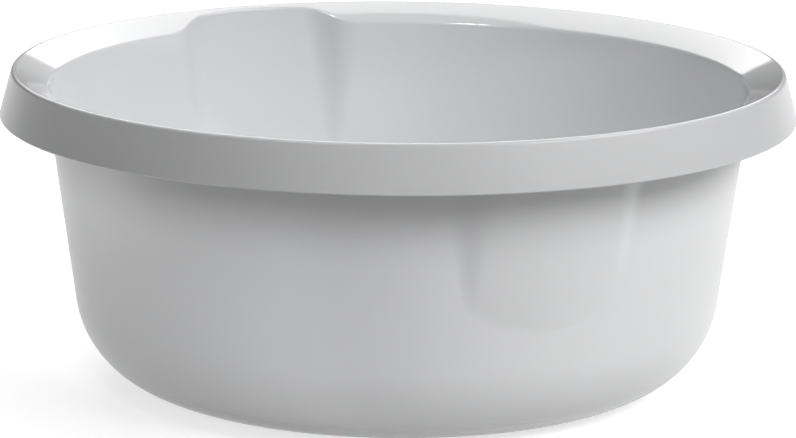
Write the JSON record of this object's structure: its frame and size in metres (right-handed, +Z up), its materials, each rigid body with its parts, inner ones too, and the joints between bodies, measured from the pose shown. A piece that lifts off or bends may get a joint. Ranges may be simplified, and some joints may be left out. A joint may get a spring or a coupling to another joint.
{
  "type": "washing up bowl",
  "caption": "Round washing up bowl in one plastic moulding, with a flared wall, a turned-down rim and two opposite bays in the wall that run up to the rim.",
  "frame": {"origin": "middle of the base, on the surface that the bowl stands on", "axes": "+Z up, out of the bowl's mouth; the two bays are on +Y and -Y"},
  "size_m": [0.38, 0.38, 0.1524],
  "materials": {
    "bowl_plastic": "light grey moulded polypropylene, half gloss, with a very fine texture"
  },
  "bodies": {
    "root": {"base_panel": "bowl_plastic", "foot_ring": "bowl_plastic", "lower_heel": "bowl_plastic", "upper_heel": "bowl_plastic", "wall": "bowl_plastic", "rim_flange": "bowl_plastic", "rim_skirt": "bowl_plastic"}
  },
  "joints": []
}
